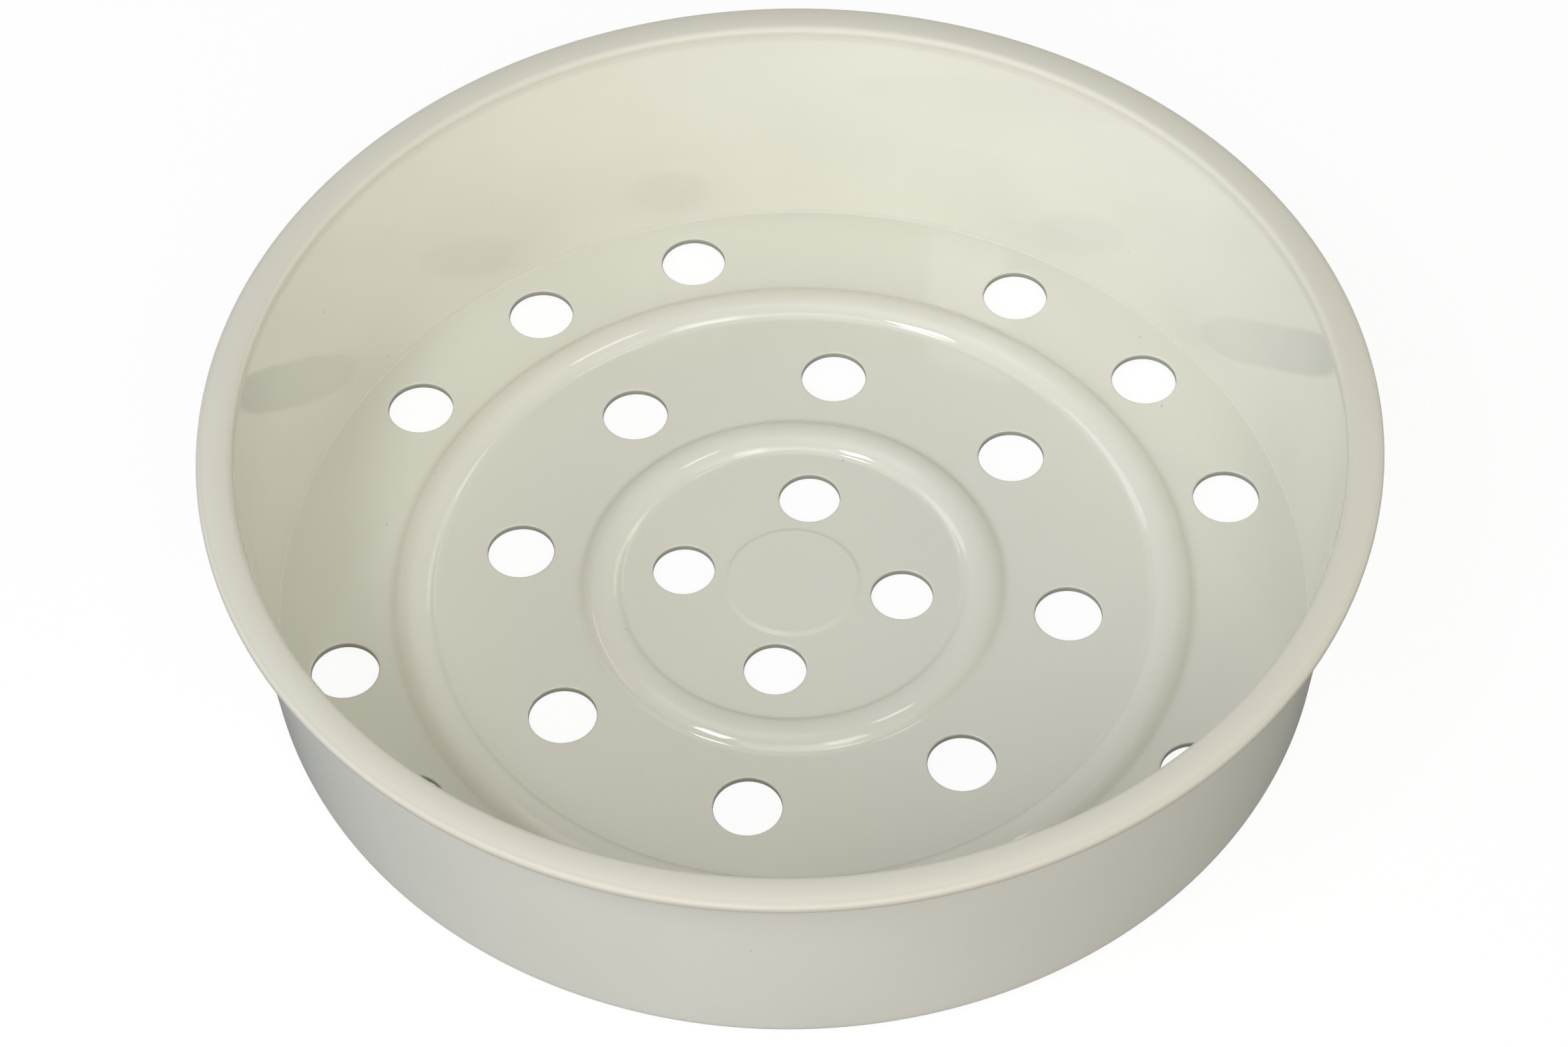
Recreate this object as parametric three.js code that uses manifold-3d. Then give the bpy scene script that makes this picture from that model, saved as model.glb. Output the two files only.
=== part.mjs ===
// Steamer basket: a round, shallow bowl moulded in one piece, which hangs by its lip in the mouth
// of a cooking pot. Steam rises through three rings of round holes in the floor.
// Millimetres, +Z up, origin at the centre of the underside.
import * as THREE from 'three';
import { mergeVertices } from 'three/addons/utils/BufferGeometryUtils.js';
import Module from 'manifold-3d';

// Bowl
const RIM_DIAMETER = 224;
const HEIGHT = 52.6;
const WALL_THICKNESS = 2;
const WALL_DRAFT = THREE.MathUtils.degToRad(3.6);
const FLOOR_THICKNESS = 1.5;
const BASE_FILLET = 1.5;
const FOOT_FILLET = 1.5;

// Lip, a flange that stands out from the top of the wall, with a domed top and a flat underside
const LIP_THICKNESS = 2.5;
const LIP_OVERHANG = 4.9;
const LIP_CROWN_RADIUS = 7;
const LIP_INNER_FILLET = 1.2;
const LIP_UNDER_FILLET = 1.5;
const LIP_EDGE_FILLET = 1;

// Two stiffening beads pressed up in the floor, each hollow from below
const INNER_BEAD_RADIUS = 38.1;
const OUTER_BEAD_RADIUS = 75.4;
const BEAD_WIDTH = 8.6;
const BEAD_HEIGHT = 1.8;

// Round pad in the middle of the floor, with a sloped edge
const PAD_DIAMETER = 27.6;
const PAD_HEIGHT = 0.5;
const PAD_SLOPE_WIDTH = 1.4;

// Steam holes. The outer ring is set in from the outer corner of the base, and has no hole
// in line with the holes of the inner ring.
const INNER_HOLE_DIAMETER = 12.3;
const INNER_RING_RADIUS = 22;
const INNER_RING_COUNT = 4;
const HOLE_DIAMETER = 13.3;
const MIDDLE_RING_RADIUS = 55.2;
const MIDDLE_RING_COUNT = 8;
const OUTER_RING_INSET = 13.7;
const OUTER_RING_PLACES = 16;

// Fineness of the round surfaces
const TURN_STEPS = 72;
const HOLE_STEPS = 24;
const ARC_STEP = THREE.MathUtils.degToRad(24);
const CUT_MARGIN = 1;

const rimRadius = RIM_DIAMETER / 2;
const lipUnderside = HEIGHT - LIP_THICKNESS;
const wallTopRadius = rimRadius - LIP_OVERHANG;
const wallAcross = WALL_THICKNESS / Math.cos(WALL_DRAFT);

// Radius of the wall's outer face at a height.
const outerWallAt = (z) => wallTopRadius - (lipUnderside - z) * Math.tan(WALL_DRAFT);

// Radius of the wall's inner face at a height.
const innerWallAt = (z) => outerWallAt(z) - wallAcross;

// Points of an arc from one angle to another, evenly stepped.
function arcPoints(centre, radius, from, to) {
  const steps = Math.max(2, Math.ceil(Math.abs(to - from) / ARC_STEP));
  const clockwise = to < from;
  const curve = new THREE.EllipseCurve(centre.x, centre.y, radius, radius, from, to, clockwise);
  return curve.getPoints(steps);
}

// Arc that rounds the corner between two straight sides of a section.
function roundedCorner(before, corner, after, fillet) {
  const back = before.clone().sub(corner).normalize();
  const ahead = after.clone().sub(corner).normalize();
  const half = Math.acos(THREE.MathUtils.clamp(back.dot(ahead), -1, 1)) / 2;
  const reach = fillet / Math.tan(half);
  const start = corner.clone().addScaledVector(back, reach);
  const end = corner.clone().addScaledVector(ahead, reach);
  const towardsCentre = back.clone().add(ahead).normalize();
  const centre = corner.clone().addScaledVector(towardsCentre, fillet / Math.sin(half));
  const from = start.clone().sub(centre).angle();
  const turn = Math.atan2(start.clone().sub(centre).cross(end.clone().sub(centre)),
    start.clone().sub(centre).dot(end.clone().sub(centre)));
  return arcPoints(centre, fillet, from, from + turn);
}

// Domed top of the lip: the round outer edge, the crown and the inner corner, each tangent to the next.
function lipCrown() {
  const edge = new THREE.Vector2(rimRadius - LIP_EDGE_FILLET, lipUnderside + LIP_EDGE_FILLET);
  const crownHeight = HEIGHT - LIP_CROWN_RADIUS;
  const run = Math.sqrt((LIP_CROWN_RADIUS - LIP_EDGE_FILLET) ** 2 - (edge.y - crownHeight) ** 2);
  const crown = new THREE.Vector2(edge.x - run, crownHeight);
  const upWall = new THREE.Vector2(Math.sin(WALL_DRAFT), Math.cos(WALL_DRAFT));
  const start = new THREE.Vector2(innerWallAt(HEIGHT) + LIP_INNER_FILLET / Math.cos(WALL_DRAFT), HEIGHT);
  const fromCrown = start.clone().sub(crown);
  const reach = LIP_CROWN_RADIUS - LIP_INNER_FILLET;
  const slide = Math.sqrt(fromCrown.dot(upWall) ** 2 - fromCrown.lengthSq() + reach ** 2) - fromCrown.dot(upWall);
  const inner = start.clone().addScaledVector(upWall, slide);
  const toEdge = edge.clone().sub(crown).angle();
  const toInner = inner.clone().sub(crown).angle();
  return [
    ...arcPoints(edge, LIP_EDGE_FILLET, -Math.PI / 2, toEdge),
    ...arcPoints(crown, LIP_CROWN_RADIUS, toEdge, toInner).slice(1),
    ...arcPoints(inner, LIP_INNER_FILLET, toInner, Math.PI - WALL_DRAFT).slice(1),
  ];
}

// Low arch of a bead across the floor, from its outer foot to its inner foot.
function archPoints(midRadius, halfWidth, height, base) {
  const radius = (halfWidth ** 2 + height ** 2) / (2 * height);
  const halfAngle = Math.asin(halfWidth / radius);
  const centre = new THREE.Vector2(midRadius, base + height - radius);
  return arcPoints(centre, radius, Math.PI / 2 - halfAngle, Math.PI / 2 + halfAngle);
}

// Half width of the hollow under a bead that keeps the floor's thickness across the bead.
function hollowHalfWidth() {
  const halfWidth = BEAD_WIDTH / 2;
  return halfWidth - FLOOR_THICKNESS * BEAD_HEIGHT / halfWidth;
}

// Section of the bowl, from the axis along the underside, up the outside, over the lip,
// down the inside and back along the floor to the axis.
function bowlSection() {
  const point = (r, z) => new THREE.Vector2(r, z);
  const padTop = FLOOR_THICKNESS + PAD_HEIGHT;
  const padRadius = PAD_DIAMETER / 2;
  const corners = {
    centre: point(0, 0),
    base: point(outerWallAt(0), 0),
    underLip: point(wallTopRadius, lipUnderside),
    lipLower: point(rimRadius, lipUnderside),
    wallTop: point(innerWallAt(HEIGHT), HEIGHT),
    foot: point(innerWallAt(FLOOR_THICKNESS), FLOOR_THICKNESS),
    floor: point(0, FLOOR_THICKNESS),
  };
  const hollow = (midRadius) => archPoints(midRadius, hollowHalfWidth(), BEAD_HEIGHT, 0).reverse();
  const bead = (midRadius) => archPoints(midRadius, BEAD_WIDTH / 2, BEAD_HEIGHT, FLOOR_THICKNESS);
  return [
    corners.centre,
    ...hollow(INNER_BEAD_RADIUS),
    ...hollow(OUTER_BEAD_RADIUS),
    ...roundedCorner(corners.centre, corners.base, corners.underLip, BASE_FILLET),
    ...roundedCorner(corners.base, corners.underLip, corners.lipLower, LIP_UNDER_FILLET),
    ...lipCrown(),
    ...roundedCorner(corners.wallTop, corners.foot, corners.floor, FOOT_FILLET),
    ...bead(OUTER_BEAD_RADIUS),
    ...bead(INNER_BEAD_RADIUS),
    point(padRadius, FLOOR_THICKNESS),
    point(padRadius - PAD_SLOPE_WIDTH, padTop),
    point(0, padTop),
  ];
}

// Hole centres evenly spaced on a ring, leaving out every place that skip names.
function ringCentres(radius, places, skip = () => false) {
  const centres = [];
  for (let place = 0; place < places; place += 1) {
    if (!skip(place)) {
      const angle = (2 * Math.PI * place) / places;
      centres.push(new THREE.Vector2(radius * Math.cos(angle), radius * Math.sin(angle)));
    }
  }
  return centres;
}

// Upright cylinder that cuts one steam hole through the floor and any bead there.
function holeCutter(centre, diameter) {
  const length = FLOOR_THICKNESS + BEAD_HEIGHT + 2 * CUT_MARGIN;
  const cutter = new THREE.CylinderGeometry(diameter / 2, diameter / 2, length, HOLE_STEPS);
  cutter.rotateX(Math.PI / 2);
  cutter.translate(centre.x, centre.y, length / 2 - CUT_MARGIN);
  return cutter;
}

const wasm = await Module();
wasm.setup();

// Closed solid of a geometry, with shared vertices merged and the flat triangles at a pole dropped.
function toSolid(geometry) {
  geometry.deleteAttribute('normal');
  geometry.deleteAttribute('uv');
  const merged = mergeVertices(geometry);
  const index = merged.index.array;
  const triangles = [];
  for (let i = 0; i < index.length; i += 3) {
    const [a, b, c] = [index[i], index[i + 1], index[i + 2]];
    if (a !== b && b !== c && c !== a) {
      triangles.push(a, b, c);
    }
  }
  return new wasm.Manifold(new wasm.Mesh({
    numProp: 3,
    vertProperties: new Float32Array(merged.attributes.position.array),
    triVerts: new Uint32Array(triangles),
  }));
}

// Flat-shaded geometry of a solid.
function toGeometry(solid) {
  const mesh = solid.getMesh();
  const geometry = new THREE.BufferGeometry();
  geometry.setAttribute('position', new THREE.BufferAttribute(mesh.vertProperties, 3));
  geometry.setIndex(new THREE.BufferAttribute(mesh.triVerts, 1));
  geometry.computeVertexNormals();
  return geometry;
}

// Bowl turned from its section and pierced by the three rings of steam holes.
function basketGeometry() {
  const turned = new THREE.LatheGeometry(bowlSection(), TURN_STEPS);
  turned.rotateX(Math.PI / 2);
  const placesPerInnerHole = OUTER_RING_PLACES / INNER_RING_COUNT;
  const outerRingRadius = outerWallAt(0) - OUTER_RING_INSET;
  const rings = [
    [ringCentres(INNER_RING_RADIUS, INNER_RING_COUNT), INNER_HOLE_DIAMETER],
    [ringCentres(MIDDLE_RING_RADIUS, MIDDLE_RING_COUNT), HOLE_DIAMETER],
    [ringCentres(outerRingRadius, OUTER_RING_PLACES, (place) => place % placesPerInnerHole === 0), HOLE_DIAMETER],
  ];
  let solid = toSolid(turned);
  for (const [centres, diameter] of rings) {
    for (const centre of centres) {
      solid = solid.subtract(toSolid(holeCutter(centre, diameter)));
    }
  }
  return toGeometry(solid);
}

const ivoryPolypropylene = new THREE.MeshStandardMaterial({ color: 0xcfcbbd, roughness: 0.42, metalness: 0 });

const basket = new THREE.Mesh(basketGeometry(), ivoryPolypropylene);
basket.name = 'basket';

const steamerBasket = new THREE.Group();
steamerBasket.name = 'steamer_basket';
steamerBasket.add(basket);

export default steamerBasket;
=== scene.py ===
"""Steamer basket in ivory polypropylene, dressed in the frame of its CAD model.

The basket is one moulding: a pierced floor with two stiffening beads and a gate pad, a slightly drafted wall
and an outward lip. Its surfaces are turned from short sections, in millimetres, and joined into one mesh.
"""
import logging
import math
from dataclasses import dataclass, field
from enum import Enum

import bmesh
import bpy
from mathutils import Matrix, Quaternion, Vector


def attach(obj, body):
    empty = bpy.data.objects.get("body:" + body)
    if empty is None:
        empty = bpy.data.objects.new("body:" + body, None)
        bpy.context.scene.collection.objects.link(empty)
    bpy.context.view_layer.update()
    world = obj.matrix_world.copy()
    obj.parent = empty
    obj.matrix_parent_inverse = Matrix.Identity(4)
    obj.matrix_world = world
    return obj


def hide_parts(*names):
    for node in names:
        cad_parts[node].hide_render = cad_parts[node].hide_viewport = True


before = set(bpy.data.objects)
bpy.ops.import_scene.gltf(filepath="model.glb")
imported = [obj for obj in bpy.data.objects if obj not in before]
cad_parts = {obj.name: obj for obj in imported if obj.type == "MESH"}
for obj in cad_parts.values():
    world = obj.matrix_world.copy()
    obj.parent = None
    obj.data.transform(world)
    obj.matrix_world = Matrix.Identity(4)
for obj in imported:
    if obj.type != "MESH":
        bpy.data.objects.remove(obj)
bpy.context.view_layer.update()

log = logging.getLogger("steamer_basket")

MM = 0.001
MERGE_MM = 0.002
BODY = "root"
NODE = "basket"

Colour = tuple[float, float, float]


class Facing(Enum):
    """Way that a flat stretch of the moulding faces."""

    UP = 1.0
    DOWN = -1.0


@dataclass(frozen=True)
class Corner:
    """Corner of a section in millimetres, sharp or rounded.

    Attributes:
        radius: Distance from the axis that the section turns about.
        height: Height above the underside.
        rounding: Radius of the arc that rounds the corner, 0 for a sharp corner or a support.
        segments: Number of steps in the arc.
    """

    radius: float
    height: float
    rounding: float = 0.0
    segments: int = 6


class Lathe:
    """Turns sections about upright axes and gathers the surfaces in one mesh."""

    def __init__(self) -> None:
        """Start with an empty mesh."""
        self.bm = bmesh.new()

    def turn(self, corners: list[Corner], steps: int, centres: tuple[Vector, ...] = (Vector(),)) -> None:
        """Turn an open section once round one or more upright axes.

        Args:
            corners: Corners of the section in order.
            steps: Number of steps in the full turn.
            centres: Points on the axes.
        """
        bm = bmesh.new()
        verts = [bm.verts.new((corner.radius, 0.0, corner.height)) for corner in corners]
        for first, second in zip(verts, verts[1:]):
            bm.edges.new((first, second))
        for vert, corner in zip(verts, corners):
            if corner.rounding > 0.0:
                self.round_corner(bm, vert, corner)
        bmesh.ops.spin(bm, geom=bm.verts[:] + bm.edges[:], cent=(0.0, 0.0, 0.0), axis=(0.0, 0.0, 1.0),
                       angle=2.0 * math.pi, steps=steps, use_merge=True)
        turned = bpy.data.meshes.new("turned")
        bm.to_mesh(turned)
        bm.free()
        for centre in centres:
            turned.transform(Matrix.Translation(centre))
            self.bm.from_mesh(turned)
            turned.transform(Matrix.Translation(-centre))
        bpy.data.meshes.remove(turned)

    def round_corner(self, bm: bmesh.types.BMesh, vert: bmesh.types.BMVert, corner: Corner) -> None:
        """Round one corner of a section by an arc.

        Args:
            bm: Mesh that holds the section.
            vert: Vertex at the corner, with one edge on each side.
            corner: Rounding and number of steps.
        """
        back, ahead = (edge.other_vert(vert).co - vert.co for edge in vert.link_edges)
        reach = corner.rounding / math.tan(0.5 * back.angle(ahead))
        bmesh.ops.bevel(bm, geom=[vert], offset=reach, offset_type="OFFSET", segments=corner.segments,
                        profile=0.5, affect="VERTICES", material=-1, clamp_overlap=False)

    def fill(self, height: float, inner: float, outer: float, facing: Facing) -> None:
        """Fill a flat ring of the floor up to the open edges that bound it.

        Args:
            height: Height of the flat stretch.
            inner: Least distance of its edges from the axis.
            outer: Greatest distance of its edges from the axis.
            facing: Side that it faces.
        """
        level = {vert for vert in self.bm.verts
                 if abs(vert.co.z - height) < MERGE_MM and inner <= vert.co.xy.length <= outer}
        bounds = [edge for edge in self.bm.edges if edge.is_boundary and level.issuperset(edge.verts)]
        bmesh.ops.triangle_fill(self.bm, use_beauty=True, edges=bounds, normal=(0.0, 0.0, facing.value))

    def merge(self) -> None:
        """Merge the vertices where turned surfaces meet."""
        bmesh.ops.remove_doubles(self.bm, verts=self.bm.verts, dist=MERGE_MM)

    def finish(self, name: str) -> bpy.types.Object:
        """Turn the gathered surfaces into an object in metres, at the origin.

        Args:
            name: Name of the object.

        Returns:
            The object, linked to the scene and shaded smooth.
        """
        self.merge()
        bmesh.ops.recalc_face_normals(self.bm, faces=self.bm.faces)
        bmesh.ops.scale(self.bm, vec=(MM, MM, MM), verts=self.bm.verts)
        for face in self.bm.faces:
            face.smooth = True
        open_edges = sum(1 for edge in self.bm.edges if not edge.is_manifold)
        log.info("%s: %d faces, %d open edges", name, len(self.bm.faces), open_edges)
        mesh = bpy.data.meshes.new(name)
        self.bm.to_mesh(mesh)
        self.bm.free()
        piece = bpy.data.objects.new(name, mesh)
        bpy.context.scene.collection.objects.link(piece)
        return piece


@dataclass(frozen=True)
class Wall:
    """Drafted wall of the bowl, in millimetres."""

    top_radius: float = 107.1
    thickness: float = 2.0
    draft: float = math.radians(3.6)
    base_rounding: float = 1.5
    foot_rounding: float = 0.2

    def outside(self, height: float, lip_underside: float) -> float:
        """Radius of the outer face at a height."""
        return self.top_radius - (lip_underside - height) * math.tan(self.draft)

    def inside(self, height: float, lip_underside: float) -> float:
        """Radius of the inner face at a height."""
        return self.outside(height, lip_underside) - self.thickness / math.cos(self.draft)


@dataclass(frozen=True)
class Lip:
    """Outward lip that the basket hangs by, domed on top and flat below, in millimetres."""

    radius: float = 112.0
    top: float = 52.6
    thickness: float = 2.5
    shoulder_drop: float = 0.3
    crown_rise: float = 0.07
    crown_rounding: float = 12.0
    inner_rounding: float = 1.4
    under_rounding: float = 1.5
    edge_rounding: float = 1.0
    edge_margin: float = 0.4
    crown_steps: int = 12

    @property
    def underside(self) -> float:
        """Height of the lip's underside."""
        return self.top - self.thickness

    @property
    def shoulder(self) -> float:
        """Height at which the dome starts on both sides."""
        return self.top - self.shoulder_drop


@dataclass(frozen=True)
class Bead:
    """Round stiffening bead pressed up in the floor, hollow from below, in millimetres."""

    radius: float
    half_width: float = 4.3
    slope: float = math.radians(43.4)
    hollow_half_width: float = 3.67
    hollow_slope: float = math.radians(48.5)
    foot_rounding: float = 1.6
    hollow_rounding: float = 0.4
    margin: float = 1.0
    clearance: float = 1.05
    foot_steps: int = 4
    crown_steps: int = 20

    def arch(self, base: float, half: float, slope: float, rounding: float) -> list[Corner]:
        """Section across an arch with rounded feet, whose crown stops just clear of the feet.

        Args:
            base: Height of the flat floor at its feet.
            half: Half width of the arch between its feet.
            slope: Slope of the arch at its feet.
            rounding: Radius of the rounding at each foot.

        Returns:
            Corners from the inner flat over the arch to the outer flat.
        """
        run = half / math.cos(slope) - self.clearance * rounding * math.tan(0.5 * slope)
        crown = run / math.tan(slope)
        return [
            Corner(self.radius - half - self.margin, base),
            Corner(self.radius - half, base, rounding, self.foot_steps),
            Corner(self.radius, base + half * math.tan(slope), crown, self.crown_steps),
            Corner(self.radius + half, base, rounding, self.foot_steps),
            Corner(self.radius + half + self.margin, base),
        ]

    def build(self, lathe: Lathe, floor: float, steps: int) -> None:
        """Turn the bead and the hollow below it.

        Args:
            lathe: Mesh that takes the surfaces.
            floor: Height of the floor's top.
            steps: Number of steps in the full turn.
        """
        lathe.turn(self.arch(floor, self.half_width, self.slope, self.foot_rounding), steps)
        lathe.turn(self.arch(0.0, self.hollow_half_width, self.hollow_slope, self.hollow_rounding), steps)


@dataclass(frozen=True)
class GatePad:
    """Low round pad in the middle of the floor, with a sloped edge, in millimetres."""

    radius: float = 13.8
    rise: float = 0.4
    slope_width: float = 0.9
    rounding: float = 0.4
    margin: float = 0.9
    edge_steps: int = 4

    def build(self, lathe: Lathe, floor: float, steps: int) -> None:
        """Turn the sloped edge and fill the pad's top.

        Args:
            lathe: Mesh that takes the surfaces.
            floor: Height of the floor's top.
            steps: Number of steps in the full turn.
        """
        top_radius = self.radius - self.slope_width
        top = floor + self.rise
        lathe.turn([
            Corner(self.radius + self.margin, floor),
            Corner(self.radius, floor, self.rounding, self.edge_steps),
            Corner(top_radius, top, self.rounding, self.edge_steps),
            Corner(top_radius - self.margin, top),
        ], steps)
        lathe.fill(top, 0.0, top_radius, Facing.UP)


@dataclass(frozen=True)
class HoleRing:
    """Ring of round steam holes through the floor, in millimetres."""

    radius: float
    hole_radius: float
    places: int
    skip_every: int = 0
    edge_rounding: float = 0.35
    margin: float = 0.7
    edge_steps: int = 3

    def centres(self) -> tuple[Vector, ...]:
        """Centres of the holes, leaving out each place that is in line with the inner ring."""
        kept = [place for place in range(self.places) if not self.skip_every or place % self.skip_every]
        angles = [2.0 * math.pi * place / self.places for place in kept]
        return tuple(Vector((self.radius * math.cos(angle), self.radius * math.sin(angle), 0.0))
                     for angle in angles)

    def build(self, lathe: Lathe, floor: float, steps: int) -> None:
        """Turn the wall of each hole, with a flat margin above and below.

        Args:
            lathe: Mesh that takes the surfaces.
            floor: Height of the floor's top.
            steps: Number of steps round each hole.
        """
        support = 2.0 * self.edge_rounding
        section = [
            Corner(self.hole_radius + self.margin, floor),
            Corner(self.hole_radius, floor, self.edge_rounding, self.edge_steps),
            Corner(self.hole_radius, floor - support),
            Corner(self.hole_radius, support),
            Corner(self.hole_radius, 0.0, self.edge_rounding, self.edge_steps),
            Corner(self.hole_radius + self.margin, 0.0),
        ]
        lathe.turn(section, steps, self.centres())


@dataclass(frozen=True)
class Fade:
    """Smooth change from one value to another.

    Attributes:
        start: Place at which the change starts.
        end: Place at which it ends.
        low: Value up to the start.
        high: Value past the end.
    """

    start: float
    end: float
    low: float = 0.0
    high: float = 1.0


class Graph:
    """Node tree of a finish or of the surroundings, with short calls for the nodes that they use."""

    def __init__(self, tree: bpy.types.NodeTree) -> None:
        """Take the tree."""
        self.tree = tree

    def add(self, kind: str, **settings: object) -> bpy.types.Node:
        """Add a node.

        Args:
            kind: Blender's name of the node type.
            **settings: Properties of the node to set.

        Returns:
            The node.
        """
        node = self.tree.nodes.new(kind)
        for name, value in settings.items():
            setattr(node, name, value)
        return node

    def link(self, source: bpy.types.NodeSocket, target: bpy.types.NodeSocket) -> None:
        """Link an output to an input."""
        self.tree.links.new(source, target)

    def millimetres(self) -> bpy.types.NodeSocket:
        """Object coordinates in millimetres."""
        return self.stretch(self.add("ShaderNodeTexCoord").outputs["Object"], (1.0 / MM, 1.0 / MM, 1.0 / MM))

    def stretch(self, point: bpy.types.NodeSocket, scale: tuple[float, float, float]) -> bpy.types.NodeSocket:
        """Stretch coordinates.

        Args:
            point: Coordinates.
            scale: Factor along each axis.

        Returns:
            The new coordinates.
        """
        node = self.add("ShaderNodeMapping")
        node.inputs["Scale"].default_value = scale
        self.link(point, node.inputs["Vector"])
        return node.outputs["Vector"]

    def height(self, point: bpy.types.NodeSocket) -> bpy.types.NodeSocket:
        """Height of a point."""
        node = self.add("ShaderNodeSeparateXYZ")
        self.link(point, node.inputs["Vector"])
        return node.outputs["Z"]

    def reach(self, point: bpy.types.NodeSocket) -> bpy.types.NodeSocket:
        """Distance of a point from the upright axis."""
        node = self.add("ShaderNodeVectorMath", operation="LENGTH")
        self.link(self.stretch(point, (1.0, 1.0, 0.0)), node.inputs[0])
        return node.outputs["Value"]

    def noise(self, point: bpy.types.NodeSocket, scale: float, detail: float) -> bpy.types.NodeSocket:
        """Add a noise texture.

        Args:
            point: Coordinates in millimetres.
            scale: Waves per millimetre.
            detail: Number of finer layers.

        Returns:
            The noise, from 0 to 1.
        """
        node = self.add("ShaderNodeTexNoise")
        node.inputs["Scale"].default_value = scale
        node.inputs["Detail"].default_value = detail
        self.link(point, node.inputs["Vector"])
        return node.outputs["Fac"]

    def combine(self, operation: str, first: bpy.types.NodeSocket,
                second: bpy.types.NodeSocket) -> bpy.types.NodeSocket:
        """Combine two values.

        Args:
            operation: Blender's name of the operation.
            first: First value.
            second: Second value.

        Returns:
            The result.
        """
        node = self.add("ShaderNodeMath", operation=operation)
        self.link(first, node.inputs[0])
        self.link(second, node.inputs[1])
        return node.outputs["Value"]

    def mirrored(self, path: bpy.types.Node) -> bpy.types.NodeSocket:
        """Whether a ray comes from a glossy or see-through surface."""
        return self.combine("MAXIMUM", path.outputs["Is Glossy Ray"], path.outputs["Is Transmission Ray"])

    def ramp(self, value: bpy.types.NodeSocket, fade: Fade) -> bpy.types.NodeSocket:
        """Add a smooth ramp.

        Args:
            value: Value that drives the ramp.
            fade: Start, end and results of the ramp.

        Returns:
            The ramped value.
        """
        node = self.add("ShaderNodeMapRange", interpolation_type="SMOOTHSTEP")
        node.inputs["From Min"].default_value = fade.start
        node.inputs["From Max"].default_value = fade.end
        node.inputs["To Min"].default_value = fade.low
        node.inputs["To Max"].default_value = fade.high
        self.link(value, node.inputs["Value"])
        return node.outputs["Result"]

    def tint(self, factor: bpy.types.NodeSocket, base: bpy.types.NodeSocket | Colour,
             over: Colour) -> bpy.types.NodeSocket:
        """Lay a colour over another.

        Args:
            factor: Share of the upper colour, from 0 to 1.
            base: Lower colour, fixed or from a node.
            over: Upper colour.

        Returns:
            The mixed colour.
        """
        node = self.add("ShaderNodeMix", data_type="RGBA")
        self.link(factor, node.inputs["Factor"])
        if isinstance(base, tuple):
            node.inputs["A"].default_value = (*base, 1.0)
        else:
            self.link(base, node.inputs["A"])
        node.inputs["B"].default_value = (*over, 1.0)
        return node.outputs["Result"]


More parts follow.
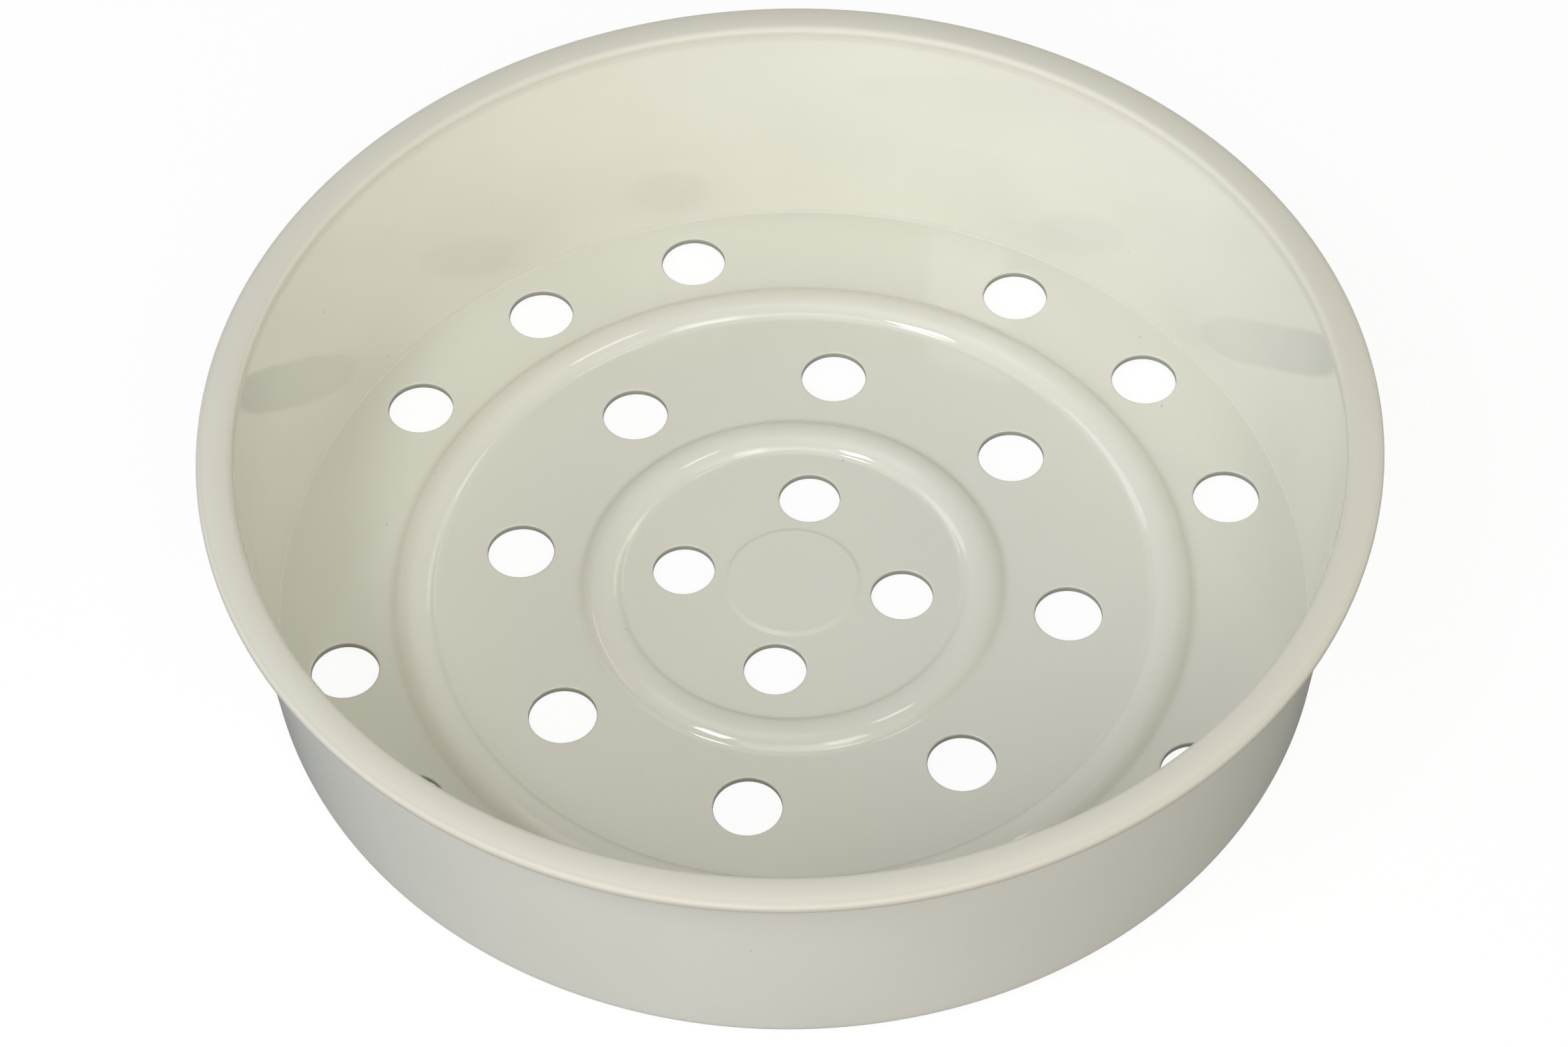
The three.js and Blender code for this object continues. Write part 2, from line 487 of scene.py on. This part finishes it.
@dataclass(frozen=True)
class Polypropylene:
    """Ivory polypropylene from a polished mould, with clouding, specks and a lip rubbed dull, and with
    painted shade: a darker lip, a floor darker than the wall and darker hole walls.

    Places are in millimetres above the underside or from the axis, and scales in waves per millimetre.
    """

    name: str = "ivory_polypropylene"
    light: Colour = (0.812, 0.792, 0.716)
    dark: Colour = (0.792, 0.772, 0.694)
    speck: Colour = (0.40, 0.38, 0.32)
    hole_painted_shade: Colour = (0.44, 0.45, 0.38)
    lip_painted_shade: Colour = (0.650, 0.612, 0.530)
    floor_painted_shade: Colour = (0.730, 0.728, 0.645)
    refraction: float = 1.49
    cloud_scale: float = 0.03
    cloud_detail: float = 4.0
    clouding: Fade = Fade(0.3, 0.7)
    gloss_scale: float = 0.09
    gloss_detail: float = 6.0
    gloss: Fade = Fade(0.3, 0.7, 0.06, 0.08)
    rubbing: Fade = Fade(0.0, 0.6, 0.0, 0.3)
    peel_scale: float = 0.9
    peel_detail: float = 3.0
    peel_strength: float = 0.06
    peel_depth: float = 0.04
    lip_height: Fade = Fade(48.6, 51.0)
    lip_reach: Fade = Fade(110.4, 111.8, 0.6, 1.0)
    floor_shade_height: Fade = Fade(3.0, 1.9, 0.0, 0.5)
    floor_shade_reach: Fade = Fade(102.6, 102.3)
    hole_shade_bottom: Fade = Fade(0.03, 0.25, 0.0, 0.85)
    hole_shade_top: Fade = Fade(1.47, 1.2)
    hole_shade_reach: Fade = Fade(101.0, 100.0)
    speck_scale: float = 0.07
    speck_edge: Fade = Fade(0.03, 0.012, 0.0, 0.45)

    def make(self) -> bpy.types.Material:
        """Build the material's nodes on Object coordinates in millimetres.

        Returns:
            The material.
        """
        material = bpy.data.materials.new(self.name)
        material.use_nodes = True
        graph = Graph(material.node_tree)
        shader = material.node_tree.nodes["Principled BSDF"]
        shader.inputs["IOR"].default_value = self.refraction
        point = graph.millimetres()

        clouds = graph.ramp(graph.noise(point, self.cloud_scale, self.cloud_detail), self.clouding)
        lip = self.lip(graph, point)
        # The lip is tinted darker as painted shade, most of all at its outer edge.
        tone = graph.tint(lip, graph.tint(clouds, self.dark, self.light), self.lip_painted_shade)
        # The floor is tinted darker than the wall and the bead crests as painted shade.
        floor_shaded = graph.tint(self.painted_floor_shade(graph, point), tone, self.floor_painted_shade)
        spotted = graph.tint(self.specks(graph, point), floor_shaded, self.speck)
        # The walls of the holes and the hollows are tinted darker as painted shade.
        hole_shaded = graph.tint(self.hole_walls(graph, point), spotted, self.hole_painted_shade)
        graph.link(hole_shaded, shader.inputs["Base Color"])

        gloss = graph.ramp(graph.noise(point, self.gloss_scale, self.gloss_detail), self.gloss)
        roughness = graph.combine("ADD", gloss, graph.ramp(lip, self.rubbing))
        graph.link(roughness, shader.inputs["Roughness"])

        peel = graph.add("ShaderNodeBump")
        peel.inputs["Strength"].default_value = self.peel_strength
        peel.inputs["Distance"].default_value = self.peel_depth * MM
        graph.link(graph.noise(point, self.peel_scale, self.peel_detail), peel.inputs["Height"])
        graph.link(peel.outputs["Normal"], shader.inputs["Normal"])
        return material

    def lip(self, graph: Graph, point: bpy.types.NodeSocket) -> bpy.types.NodeSocket:
        """Mask the lip, which hands and the pot's edge rub dull, and which is also tinted darker as painted
        shade, most of all at its outer edge.

        Args:
            graph: Node tree of the material.
            point: Coordinates in millimetres.

        Returns:
            Mask, 1 at the outer edge.
        """
        top = graph.ramp(graph.height(point), self.lip_height)
        outward = graph.ramp(graph.reach(point), self.lip_reach)
        return graph.combine("MULTIPLY", top, outward)

    def painted_floor_shade(self, graph: Graph, point: bpy.types.NodeSocket) -> bpy.types.NodeSocket:
        """Mask the floor up to the foot of the wall, which is tinted darker and greener than the wall and the
        bead crests as painted shade.

        Args:
            graph: Node tree of the material.
            point: Coordinates in millimetres.

        Returns:
            Mask, even on the floor, fading up the beads and the foot of the wall.
        """
        low = graph.ramp(graph.height(point), self.floor_shade_height)
        within = graph.ramp(graph.reach(point), self.floor_shade_reach)
        return graph.combine("MULTIPLY", low, within)

    def hole_walls(self, graph: Graph, point: bpy.types.NodeSocket) -> bpy.types.NodeSocket:
        """Mask the walls of the steam holes and the hollows below, which are tinted darker as painted shade.

        Args:
            graph: Node tree of the material.
            point: Coordinates in millimetres.

        Returns:
            Mask, close to 1 between the floor's two faces and inside the wall.
        """
        height = graph.height(point)
        above = graph.ramp(height, self.hole_shade_bottom)
        below = graph.ramp(height, self.hole_shade_top)
        within = graph.ramp(graph.reach(point), self.hole_shade_reach)
        return graph.combine("MULTIPLY", graph.combine("MULTIPLY", above, below), within)

    def specks(self, graph: Graph, point: bpy.types.NodeSocket) -> bpy.types.NodeSocket:
        """Scatter sparse specks of dust and grit that the moulding has picked up.

        Args:
            graph: Node tree of the material.
            point: Coordinates in millimetres.

        Returns:
            Mask, highest in the middle of a speck.
        """
        cells = graph.add("ShaderNodeTexVoronoi")
        cells.inputs["Scale"].default_value = self.speck_scale
        graph.link(point, cells.inputs["Vector"])
        return graph.ramp(cells.outputs["Distance"], self.speck_edge)


@dataclass
class Basket:
    """The whole moulding: floor, beads, pad, holes, wall and lip, in millimetres."""

    finish: Polypropylene = Polypropylene()
    floor: float = 1.5
    wall: Wall = Wall()
    lip: Lip = Lip()
    inner_bead: Bead = Bead(radius=38.1)
    outer_bead: Bead = Bead(radius=75.4)
    pad: GatePad = GatePad()
    inner_ring: HoleRing = HoleRing(radius=22.0, hole_radius=6.15, places=4)
    middle_ring: HoleRing = HoleRing(radius=55.2, hole_radius=6.65, places=8)
    outer_ring: HoleRing = HoleRing(radius=90.25, hole_radius=6.65, places=16, skip_every=4)
    turn_steps: int = 256
    hole_steps: int = 48
    margin: float = 1.0

    def outside(self, height: float) -> float:
        """Radius of the wall's outer face at a height."""
        return self.wall.outside(height, self.lip.underside)

    def inside(self, height: float) -> float:
        """Radius of the wall's inner face at a height."""
        return self.wall.inside(height, self.lip.underside)

    def bowl_section(self) -> list[Corner]:
        """Section of the wall and lip.

        Returns:
            Corners from the underside, up the outside, over the lip and down the inside to the floor.
        """
        wall, lip = self.wall, self.lip
        low = wall.base_rounding + self.margin
        high = lip.underside - lip.under_rounding - self.margin
        crown = 0.5 * (lip.radius + self.inside(lip.shoulder))
        below = lip.shoulder - lip.inner_rounding - self.margin
        foot = self.floor + wall.foot_rounding + self.margin
        return [
            Corner(self.outside(0.0) - low, 0.0),
            Corner(self.outside(0.0), 0.0, wall.base_rounding),
            Corner(self.outside(low), low),
            Corner(self.outside(high), high),
            Corner(self.outside(lip.underside), lip.underside, lip.under_rounding),
            Corner(lip.radius - lip.edge_rounding - lip.edge_margin, lip.underside),
            Corner(lip.radius, lip.underside, lip.edge_rounding),
            Corner(lip.radius, lip.shoulder, lip.edge_rounding),
            Corner(crown, lip.top + lip.crown_rise, lip.crown_rounding, lip.crown_steps),
            Corner(self.inside(lip.shoulder), lip.shoulder, lip.inner_rounding),
            Corner(self.inside(below), below),
            Corner(self.inside(foot), foot),
            Corner(self.inside(self.floor), self.floor, wall.foot_rounding),
            Corner(self.inside(self.floor) - wall.foot_rounding - self.margin, self.floor),
        ]

    def build(self) -> bpy.types.Object:
        """Turn and join all surfaces of the moulding.

        Returns:
            The basket, which stands for its CAD node.
        """
        lathe = Lathe()
        lathe.turn(self.bowl_section(), self.turn_steps)
        self.pad.build(lathe, self.floor, self.turn_steps)
        for bead in (self.inner_bead, self.outer_bead):
            bead.build(lathe, self.floor, self.turn_steps)
        for ring in (self.inner_ring, self.middle_ring, self.outer_ring):
            ring.build(lathe, self.floor, self.hole_steps)
        for inner, outer in ((0.0, self.inner_bead.radius), (self.inner_bead.radius, self.outer_bead.radius),
                             (self.outer_bead.radius, self.lip.radius)):
            lathe.fill(self.floor, inner, outer, Facing.UP)
            lathe.fill(0.0, inner, outer, Facing.DOWN)
        piece = lathe.finish("steamer_basket")
        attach(piece, BODY)
        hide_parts(NODE)
        return piece

    def dress(self, piece: bpy.types.Object) -> None:
        """Give the moulding its finish."""
        piece.data.materials.append(self.finish.make())


@dataclass(frozen=True)
class Sweep:
    """Plain pale floor and surroundings that show as white and still take the basket's shadow, in metres."""

    half_size: float = 4.0
    drop: float = 0.0003
    paper: Colour = (0.90, 0.90, 0.90)
    bounce: Colour = (0.18, 0.18, 0.18)
    glow: float = 0.88
    strength: float = 1.03
    openness: Fade = Fade(0.13, 0.24, 0.22, 1.0)
    ambient: float = 0.03
    ambient_tint: Colour = (1.0, 1.0, 0.97)
    white: Colour = (1.0, 1.0, 1.0)

    def build(self) -> bpy.types.Object:
        """Lay the floor just under the basket.

        Returns:
            The floor.
        """
        bm = bmesh.new()
        bmesh.ops.create_grid(bm, x_segments=1, y_segments=1, size=self.half_size)
        bmesh.ops.translate(bm, vec=(0.0, 0.0, -self.drop), verts=bm.verts)
        mesh = bpy.data.meshes.new("studio_floor")
        bm.to_mesh(mesh)
        bm.free()
        floor = bpy.data.objects.new("studio_floor", mesh)
        bpy.context.scene.collection.objects.link(floor)
        floor.data.materials.append(self.make())
        return floor

    def make(self) -> bpy.types.Material:
        """Build the floor's material, a matt paper that glows white where it is seen.

        Mirror rays find it white too, except close to the basket, where it lies in the basket's own shade.

        Returns:
            The material.
        """
        material = bpy.data.materials.new("matt_white_paper")
        material.use_nodes = True
        graph = Graph(material.node_tree)
        material.node_tree.nodes.clear()
        out = graph.add("ShaderNodeOutputMaterial")
        matt = graph.add("ShaderNodeBsdfDiffuse")
        path = graph.add("ShaderNodeLightPath")
        graph.link(graph.tint(path.outputs["Is Camera Ray"], self.bounce, self.paper), matt.inputs["Color"])
        glow = graph.add("ShaderNodeEmission")
        glow.inputs["Strength"].default_value = self.strength
        place = graph.add("ShaderNodeTexCoord")
        open_floor = graph.ramp(graph.reach(place.outputs["Object"]), self.openness)
        mirrored = graph.combine("MULTIPLY", graph.mirrored(path), open_floor)
        seen = graph.combine("MAXIMUM", path.outputs["Is Camera Ray"], mirrored)
        both = graph.add("ShaderNodeMixShader")
        graph.link(graph.ramp(seen, Fade(0.0, 1.0, 0.0, self.glow)), both.inputs["Fac"])
        graph.link(matt.outputs["BSDF"], both.inputs[1])
        graph.link(glow.outputs["Emission"], both.inputs[2])
        graph.link(both.outputs["Shader"], out.inputs["Surface"])
        return material

    def surround(self) -> None:
        """Set the world to a soft even light that shows as white."""
        world = bpy.data.worlds.new("studio_surround")
        bpy.context.scene.world = world
        world.use_nodes = True
        graph = Graph(world.node_tree)
        background = world.node_tree.nodes["Background"]
        path = graph.add("ShaderNodeLightPath")
        seen = graph.combine("MAXIMUM", path.outputs["Is Camera Ray"], graph.mirrored(path))
        graph.link(graph.tint(seen, self.ambient_tint, self.white), background.inputs["Color"])
        graph.link(graph.ramp(seen, Fade(0.0, 1.0, self.ambient, 1.0)), background.inputs["Strength"])


@dataclass(frozen=True)
class Lamp:
    """Soft rectangular lamp aimed at the basket, in degrees, metres and watts.

    Its azimuth is 0 in front, at -Y, and grows towards +X.
    """

    name: str
    azimuth: float
    elevation: float
    width: float
    height: float
    power: float
    tint: Colour = (1.0, 1.0, 1.0)
    distance: float = 1.2

    def build(self) -> bpy.types.Object:
        """Hang the lamp.

        Returns:
            The lamp.
        """
        turn, lift = math.radians(self.azimuth), math.radians(self.elevation)
        out = Vector((math.sin(turn) * math.cos(lift), -math.cos(turn) * math.cos(lift), math.sin(lift)))
        data = bpy.data.lights.new(self.name, "AREA")
        data.shape = "RECTANGLE"
        data.size = self.width
        data.size_y = self.height
        data.energy = self.power
        data.color = self.tint
        lamp = bpy.data.objects.new(self.name, data)
        lamp.location = self.distance * out
        lamp.rotation_euler = (-out).to_track_quat("-Z", "Y").to_euler()
        bpy.context.scene.collection.objects.link(lamp)
        return lamp


@dataclass(frozen=True)
class Camera:
    """Camera at the photograph's viewpoint, in metres and degrees, with its lens in millimetres."""

    place: tuple[float, float, float] = (0.08346, -0.47644, 0.6065)
    aim: tuple[float, float, float] = (-0.00427, 0.01582, 0.0)
    roll: float = -1.41
    lens: float = 89.27
    sensor: float = 36.0

    def build(self) -> bpy.types.Object:
        """Place the camera and make it the scene's.

        Returns:
            The camera.
        """
        data = bpy.data.cameras.new("camera")
        data.lens = self.lens
        data.sensor_fit = "HORIZONTAL"
        data.sensor_width = self.sensor
        camera = bpy.data.objects.new("camera", data)
        look = (Vector(self.aim) - Vector(self.place)).to_track_quat("-Z", "Y")
        camera.location = self.place
        camera.rotation_euler = (look @ Quaternion((0.0, 0.0, 1.0), math.radians(self.roll))).to_euler()
        bpy.context.scene.collection.objects.link(camera)
        bpy.context.scene.camera = camera
        return camera


@dataclass
class Studio:
    """Floor, surroundings, lamps and camera."""

    sweep: Sweep = Sweep()
    camera: Camera = Camera()
    lamps: list[Lamp] = field(default_factory=lambda: [
        Lamp("front", 10.0, 42.0, 0.9, 0.7, 3.5, (1.0, 0.99, 0.98)),
        Lamp("front_low", 10.0, 14.0, 1.2, 0.4, 3.6, (1.0, 0.95, 0.92)),
        Lamp("front_left", -20.0, 24.0, 0.7, 0.5, 1.7, (0.88, 0.95, 1.0)),
        Lamp("front_right", 45.0, 40.0, 0.9, 0.7, 1.8, (1.0, 0.98, 0.86)),
        Lamp("key", -38.0, 55.0, 0.24, 0.24, 2.4, (0.95, 0.98, 1.0)),
        Lamp("key_right", 38.0, 55.0, 0.28, 0.28, 0.9, (1.0, 0.97, 0.90)),
        Lamp("left", -55.0, 24.0, 0.7, 0.5, 2.2, (0.80, 0.95, 1.0)),
        Lamp("right_low", 98.0, 26.0, 1.0, 0.3, 1.6, (0.88, 1.0, 0.90)),
        Lamp("back_left", -95.0, 26.0, 0.8, 0.5, 2.8, (0.93, 0.97, 1.0)),
        Lamp("back_low", 190.0, 10.0, 1.6, 0.3, 1.0, (0.85, 1.0, 0.70)),
        Lamp("back_right", 130.0, 22.0, 0.8, 0.5, 2.0, (1.0, 0.98, 0.78)),
        Lamp("overhead", -114.0, 77.0, 0.6, 0.6, 1.1, (1.0, 0.95, 0.92)),
        Lamp("spot_left", -114.0, 77.0, 0.15, 0.15, 0.1),
        Lamp("spot_right", 131.0, 72.0, 0.15, 0.15, 0.4),
    ])

    def build(self) -> None:
        """Set up everything around the basket."""
        bpy.context.scene.view_settings.view_transform = "Standard"
        self.camera.build()
        self.sweep.build()
        self.sweep.surround()
        for lamp in self.lamps:
            lamp.build()


def main() -> None:
    """Build the studio and the basket."""
    logging.basicConfig(level=logging.INFO, format="%(message)s")
    Studio().build()
    basket = Basket()
    piece = basket.build()
    basket.dress(piece)
    log.info("%s: dressed in %s", piece.name, basket.finish.name)


if __name__ == "__main__":
    main()
